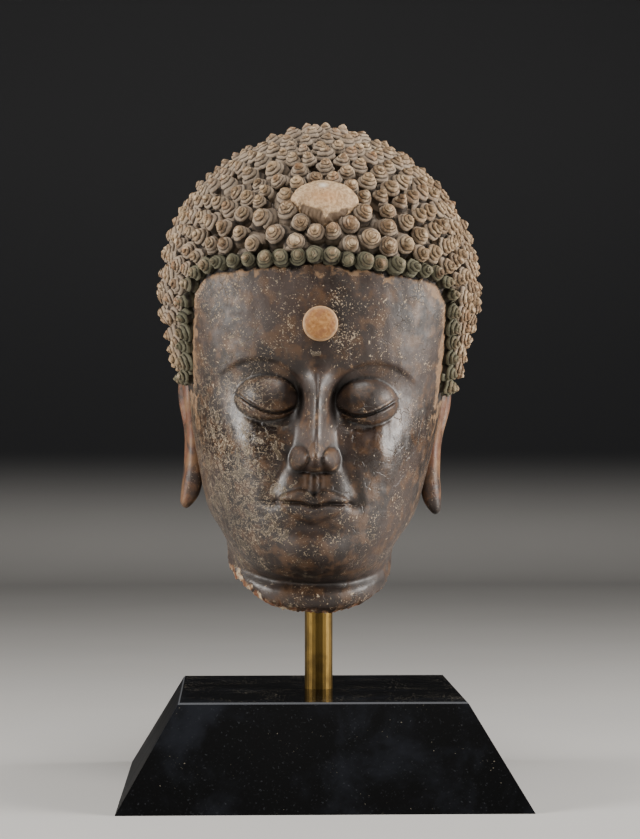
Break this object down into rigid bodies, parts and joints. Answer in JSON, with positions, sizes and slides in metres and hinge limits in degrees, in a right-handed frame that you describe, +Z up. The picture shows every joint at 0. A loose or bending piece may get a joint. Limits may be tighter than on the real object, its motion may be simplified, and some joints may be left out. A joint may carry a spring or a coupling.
{
  "type": "painted stucco buddha head",
  "caption": "Painted stucco buddha head with snail-shell curls and long ears, broken at the neck, on a round brass bar in a black stone plinth.",
  "frame": {"origin": "middle of the plinth's square underside", "axes": "+Z up along the mount rod, -Y the way the face looks, +X to the left hand of the figure"},
  "size_m": [0.35, 0.35, 0.5975],
  "materials": {
    "plinth_stone": "honed black stone, polished on top",
    "rod_brass": "satin, aged to olive gold",
    "painted_stucco": "worn dark lacquer-like paint over tan clay, with dusty curls",
    "jewel_stucco": "matt, pale, worn",
    "urna_ochre": "matt ochre with a pale rim"
  },
  "bodies": {
    "root": {"plinth": "plinth_stone", "mount_rod": "rod_brass", "head": "painted_stucco", "hair_jewel": "jewel_stucco", "urna": "urna_ochre"}
  },
  "joints": []
}
